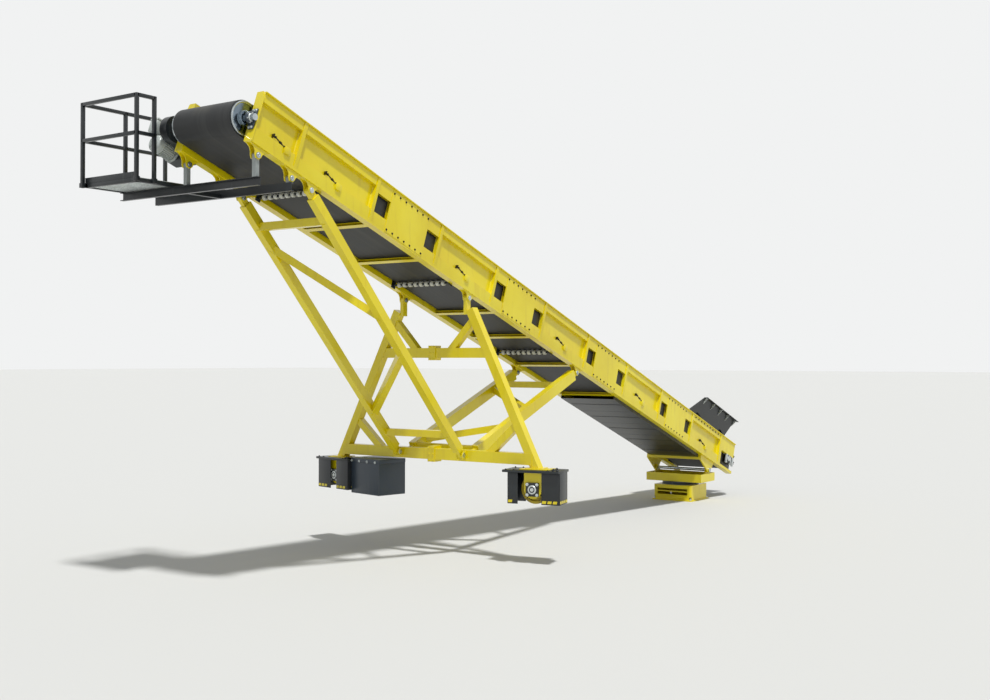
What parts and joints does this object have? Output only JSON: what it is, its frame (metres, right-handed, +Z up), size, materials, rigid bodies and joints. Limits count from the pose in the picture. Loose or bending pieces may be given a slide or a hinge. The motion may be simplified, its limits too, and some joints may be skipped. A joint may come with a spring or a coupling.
{
  "type": "radial stacker conveyor",
  "caption": "Belt conveyor on sloped girders, hinged on a slewing turntable and carried by a trestle on wheels, with feed hopper, head drive and service platform.",
  "frame": {"origin": "on the slewing axis at the underside of the pedestal's base plate", "axes": "+X level towards the discharge end, +Y towards the side without the drive, +Z up along the slewing axis"},
  "size_m": [15.0396, 4.727, 6.209],
  "materials": {
    "yellow_paint": "gloss safety-yellow paint",
    "black_paint": "satin near-black paint",
    "slate_paint": "satin slate paint",
    "grey_paint": "grey machine enamel",
    "bare_steel": "machined or rolled bare steel",
    "galvanised": "zinc-grey",
    "pale_rubber": "pale grey rubber discs, dusty",
    "belt_rubber": "matt conveyor belting"
  },
  "bodies": {
    "pedestal": {"pedestal_box": "yellow_paint", "slew_ring_fixed": "grey_paint"},
    "turntable": {"slew_ring_turning": "grey_paint", "turntable_tray": "yellow_paint", "turntable_ears": "yellow_paint", "hinge_shaft": "bare_steel"},
    "conveyor": {"girder_near": "yellow_paint", "girder_far": "yellow_paint", "cover_plates_near": "yellow_paint", "cover_plates_far": "yellow_paint", "girder_cross_bars": "yellow_paint", "carry_idler_frames": "black_paint", "carry_idler_rollers": "black_paint", "return_idlers": "pale_rubber", "return_idler_brackets": "black_paint", "belt": "belt_rubber", "belly_pans": "black_paint", "feed_hopper": "black_paint", "tail_takeup": "galvanised", "head_bearings": "grey_paint", "drive_gearbox": "black_paint", "drive_motor": "grey_paint", "drive_fan_cowl": "grey_paint", "girder_forks": "yellow_paint", "girder_fork_pins": "bare_steel", "tail_hinge_lugs": "yellow_paint", "trestle_leg_near": "yellow_paint", "trestle_leg_far": "yellow_paint", "trestle_mid_beam": "yellow_paint", "trestle_lower_beam": "yellow_paint", "trestle_knee_braces": "yellow_paint", "front_stay_near": "yellow_paint", "front_stay_far": "yellow_paint", "back_stay_near": "yellow_paint", "back_stay_far": "yellow_paint", "front_stay_bracing": "yellow_paint", "back_stay_bracing": "yellow_paint", "stay_foot_forks": "yellow_paint", "bogie_plates": "black_paint", "leg_foot_plates": "yellow_paint", "wheel_guard_near": "black_paint", "wheel_guard_far": "black_paint", "wheel_hangers": "yellow_paint", "wheel_bearings": "grey_paint", "travel_drive_box": "slate_paint", "platform_beams": "black_paint", "platform_hangers": "black_paint", "platform_deck": "black_paint", "platform_toe_boards": "black_paint", "platform_handrails": "black_paint"},
    "head_pulley": {"head_pulley": "bare_steel"},
    "tail_pulley": {"tail_pulley": "bare_steel"},
    "near_wheel": {"near_wheel": "yellow_paint"},
    "far_wheel": {"far_wheel": "yellow_paint"}
  },
  "joints": [
    {"name": "slew", "type": "hinge", "parent": "pedestal", "child": "turntable", "pos_m": [0, 0, 0.36], "axis": [0, 0, 1], "range_deg": [-65, 38]},
    {"name": "tail_hinge", "type": "hinge", "parent": "turntable", "child": "conveyor", "pos_m": [-0.07, 0, 0.637], "axis": [0, -1, 0], "range_deg": [0, 1.5]},
    {"name": "near_wheel_spin", "type": "hinge", "parent": "conveyor", "child": "near_wheel", "pos_m": [8.592, 1.845, 1.095], "axis": [0.9777, 0.2099, 0], "continuous": true},
    {"name": "far_wheel_spin", "type": "hinge", "parent": "conveyor", "child": "far_wheel", "pos_m": [8.592, -1.845, 1.095], "axis": [0.9777, -0.2099, 0], "continuous": true},
    {"name": "head_pulley_spin", "type": "hinge", "parent": "conveyor", "child": "head_pulley", "pos_m": [12.99914, 0, 5.81691], "axis": [0, 1, 0], "continuous": true},
    {"name": "tail_pulley_spin", "type": "hinge", "parent": "conveyor", "child": "tail_pulley", "pos_m": [-0.98519, 0, 0.82081], "axis": [0, 1, 0], "continuous": true}
  ]
}
